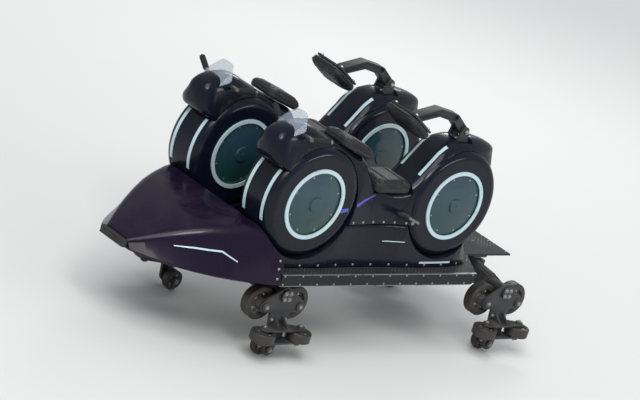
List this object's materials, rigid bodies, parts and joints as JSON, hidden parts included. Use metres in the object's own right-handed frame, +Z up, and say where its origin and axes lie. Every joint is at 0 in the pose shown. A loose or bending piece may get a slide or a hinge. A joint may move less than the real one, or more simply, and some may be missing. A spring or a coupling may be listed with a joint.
{
  "type": "roller coaster car",
  "caption": "Lead car of a motorbike roller coaster: two straddled bikes side by side with drum wheels, chest and back pads, on a steel chassis with wheel carriers that grip both rails.",
  "frame": {"origin": "floor under the middle of the car's length and width, as it stands parked on its lowest wheels", "axes": "+X forward along the track, +Y to the car's left, +Z up"},
  "size_m": [3.3, 1.34, 1.6414],
  "materials": {
    "frame_steel": "satin",
    "deck": "matt, anti-slip",
    "skirt": "semi-gloss with a bare edge",
    "nose": "gloss",
    "bumper": "matt",
    "fin": "bare, worn by the brakes",
    "coupling_steel": "satin",
    "shell": "gloss",
    "disc": "high gloss",
    "ring": "satin",
    "screen": "clear",
    "bar": "satin",
    "grip": "matt",
    "pad": "fine grain",
    "restraint_steel": "satin",
    "carrier_steel": "painted, greasy",
    "wheel": "polyurethane tread on a metal hub"
  },
  "bodies": {
    "chassis": {"chassis_frame": "frame_steel", "front_axle": "frame_steel", "rear_axle": "frame_steel", "deck_plate": "deck", "side_skirts": "skirt", "nose_cowl": "nose", "nose_bumper": "bumper", "brake_fin": "fin", "rear_coupling": "coupling_steel", "drum_discs": "disc", "ring_trims": "ring", "drum_stripes": "ring", "windscreens": "screen", "handlebars": "bar", "hand_grips": "grip", "saddles": "pad", "chest_pads": "pad", "foot_rests": "bar", "restraint_brackets": "restraint_steel", "body_shell_left": "shell", "lower_fairing_left": "shell", "front_drum_left": "shell", "rear_drum_left": "shell", "front_cowl_left": "shell", "body_shell_right": "shell", "lower_fairing_right": "shell", "front_drum_right": "shell", "rear_drum_right": "shell", "front_cowl_right": "shell"},
    "restraint_left": {"restraint_arm_left": "restraint_steel", "restraint_pad_left": "pad"},
    "restraint_right": {"restraint_arm_right": "restraint_steel", "restraint_pad_right": "pad"},
    "carrier_front_left": {"carrier_front_left": "carrier_steel"},
    "road_wheel_front_left_fore": {"road_wheel_front_left_fore": "wheel"},
    "side_wheel_front_left_fore": {"side_wheel_front_left_fore": "wheel"},
    "road_wheel_front_left_aft": {"road_wheel_front_left_aft": "wheel"},
    "side_wheel_front_left_aft": {"side_wheel_front_left_aft": "wheel"},
    "upstop_wheel_front_left": {"upstop_wheel_front_left": "wheel"},
    "carrier_front_right": {"carrier_front_right": "carrier_steel"},
    "road_wheel_front_right_fore": {"road_wheel_front_right_fore": "wheel"},
    "side_wheel_front_right_fore": {"side_wheel_front_right_fore": "wheel"},
    "road_wheel_front_right_aft": {"road_wheel_front_right_aft": "wheel"},
    "side_wheel_front_right_aft": {"side_wheel_front_right_aft": "wheel"},
    "upstop_wheel_front_right": {"upstop_wheel_front_right": "wheel"},
    "carrier_rear_left": {"carrier_rear_left": "carrier_steel"},
    "road_wheel_rear_left_fore": {"road_wheel_rear_left_fore": "wheel"},
    "side_wheel_rear_left_fore": {"side_wheel_rear_left_fore": "wheel"},
    "road_wheel_rear_left_aft": {"road_wheel_rear_left_aft": "wheel"},
    "side_wheel_rear_left_aft": {"side_wheel_rear_left_aft": "wheel"},
    "upstop_wheel_rear_left": {"upstop_wheel_rear_left": "wheel"},
    "carrier_rear_right": {"carrier_rear_right": "carrier_steel"},
    "road_wheel_rear_right_fore": {"road_wheel_rear_right_fore": "wheel"},
    "side_wheel_rear_right_fore": {"side_wheel_rear_right_fore": "wheel"},
    "road_wheel_rear_right_aft": {"road_wheel_rear_right_aft": "wheel"},
    "side_wheel_rear_right_aft": {"side_wheel_rear_right_aft": "wheel"},
    "upstop_wheel_rear_right": {"upstop_wheel_rear_right": "wheel"}
  },
  "joints": [
    {"name": "restraint_left_swing", "type": "hinge", "parent": "chassis", "child": "restraint_left", "pos_m": [-0.6, 0.365, 1.502], "axis": [0, -1, 0], "range_deg": [0, 105]},
    {"name": "restraint_right_swing", "type": "hinge", "parent": "chassis", "child": "restraint_right", "pos_m": [-0.6, -0.365, 1.502], "axis": [0, -1, 0], "range_deg": [0, 105]},
    {"name": "carrier_front_left_rock", "type": "hinge", "parent": "chassis", "child": "carrier_front_left", "pos_m": [0.6, 0.45, 0.432], "axis": [0, 1, 0], "range_deg": [-8, 8], "stiffness_Nm_per_rad": 4000},
    {"name": "road_wheel_front_left_fore_spin", "type": "hinge", "parent": "carrier_front_left", "child": "road_wheel_front_left_fore", "pos_m": [0.74, 0.45, 0.357], "axis": [0, 1, 0], "continuous": true},
    {"name": "side_wheel_front_left_fore_spin", "type": "hinge", "parent": "carrier_front_left", "child": "side_wheel_front_left_fore", "pos_m": [0.75, 0.59, 0.19], "axis": [0, 0, 1], "continuous": true},
    {"name": "road_wheel_front_left_aft_spin", "type": "hinge", "parent": "carrier_front_left", "child": "road_wheel_front_left_aft", "pos_m": [0.46, 0.45, 0.357], "axis": [0, 1, 0], "continuous": true},
    {"name": "side_wheel_front_left_aft_spin", "type": "hinge", "parent": "carrier_front_left", "child": "side_wheel_front_left_aft", "pos_m": [0.45, 0.59, 0.19], "axis": [0, 0, 1], "continuous": true},
    {"name": "upstop_wheel_front_left_spin", "type": "hinge", "parent": "carrier_front_left", "child": "upstop_wheel_front_left", "pos_m": [0.6, 0.45, 0.065], "axis": [0, 1, 0], "continuous": true},
    {"name": "carrier_front_right_rock", "type": "hinge", "parent": "chassis", "child": "carrier_front_right", "pos_m": [0.6, -0.45, 0.432], "axis": [0, 1, 0], "range_deg": [-8, 8], "stiffness_Nm_per_rad": 4000},
    {"name": "road_wheel_front_right_fore_spin", "type": "hinge", "parent": "carrier_front_right", "child": "road_wheel_front_right_fore", "pos_m": [0.74, -0.45, 0.357], "axis": [0, 1, 0], "continuous": true},
    {"name": "side_wheel_front_right_fore_spin", "type": "hinge", "parent": "carrier_front_right", "child": "side_wheel_front_right_fore", "pos_m": [0.75, -0.59, 0.19], "axis": [0, 0, 1], "continuous": true},
    {"name": "road_wheel_front_right_aft_spin", "type": "hinge", "parent": "carrier_front_right", "child": "road_wheel_front_right_aft", "pos_m": [0.46, -0.45, 0.357], "axis": [0, 1, 0], "continuous": true},
    {"name": "side_wheel_front_right_aft_spin", "type": "hinge", "parent": "carrier_front_right", "child": "side_wheel_front_right_aft", "pos_m": [0.45, -0.59, 0.19], "axis": [0, 0, 1], "continuous": true},
    {"name": "upstop_wheel_front_right_spin", "type": "hinge", "parent": "carrier_front_right", "child": "upstop_wheel_front_right", "pos_m": [0.6, -0.45, 0.065], "axis": [0, 1, 0], "continuous": true},
    {"name": "carrier_rear_left_rock", "type": "hinge", "parent": "chassis", "child": "carrier_rear_left", "pos_m": [-1.35, 0.45, 0.432], "axis": [0, 1, 0], "range_deg": [-8, 8], "stiffness_Nm_per_rad": 4000},
    {"name": "road_wheel_rear_left_fore_spin", "type": "hinge", "parent": "carrier_rear_left", "child": "road_wheel_rear_left_fore", "pos_m": [-1.21, 0.45, 0.357], "axis": [0, 1, 0], "continuous": true},
    {"name": "side_wheel_rear_left_fore_spin", "type": "hinge", "parent": "carrier_rear_left", "child": "side_wheel_rear_left_fore", "pos_m": [-1.2, 0.59, 0.19], "axis": [0, 0, 1], "continuous": true},
    {"name": "road_wheel_rear_left_aft_spin", "type": "hinge", "parent": "carrier_rear_left", "child": "road_wheel_rear_left_aft", "pos_m": [-1.49, 0.45, 0.357], "axis": [0, 1, 0], "continuous": true},
    {"name": "side_wheel_rear_left_aft_spin", "type": "hinge", "parent": "carrier_rear_left", "child": "side_wheel_rear_left_aft", "pos_m": [-1.5, 0.59, 0.19], "axis": [0, 0, 1], "continuous": true},
    {"name": "upstop_wheel_rear_left_spin", "type": "hinge", "parent": "carrier_rear_left", "child": "upstop_wheel_rear_left", "pos_m": [-1.35, 0.45, 0.065], "axis": [0, 1, 0], "continuous": true},
    {"name": "carrier_rear_right_rock", "type": "hinge", "parent": "chassis", "child": "carrier_rear_right", "pos_m": [-1.35, -0.45, 0.432], "axis": [0, 1, 0], "range_deg": [-8, 8], "stiffness_Nm_per_rad": 4000},
    {"name": "road_wheel_rear_right_fore_spin", "type": "hinge", "parent": "carrier_rear_right", "child": "road_wheel_rear_right_fore", "pos_m": [-1.21, -0.45, 0.357], "axis": [0, 1, 0], "continuous": true},
    {"name": "side_wheel_rear_right_fore_spin", "type": "hinge", "parent": "carrier_rear_right", "child": "side_wheel_rear_right_fore", "pos_m": [-1.2, -0.59, 0.19], "axis": [0, 0, 1], "continuous": true},
    {"name": "road_wheel_rear_right_aft_spin", "type": "hinge", "parent": "carrier_rear_right", "child": "road_wheel_rear_right_aft", "pos_m": [-1.49, -0.45, 0.357], "axis": [0, 1, 0], "continuous": true},
    {"name": "side_wheel_rear_right_aft_spin", "type": "hinge", "parent": "carrier_rear_right", "child": "side_wheel_rear_right_aft", "pos_m": [-1.5, -0.59, 0.19], "axis": [0, 0, 1], "continuous": true},
    {"name": "upstop_wheel_rear_right_spin", "type": "hinge", "parent": "carrier_rear_right", "child": "upstop_wheel_rear_right", "pos_m": [-1.35, -0.45, 0.065], "axis": [0, 1, 0], "continuous": true}
  ]
}
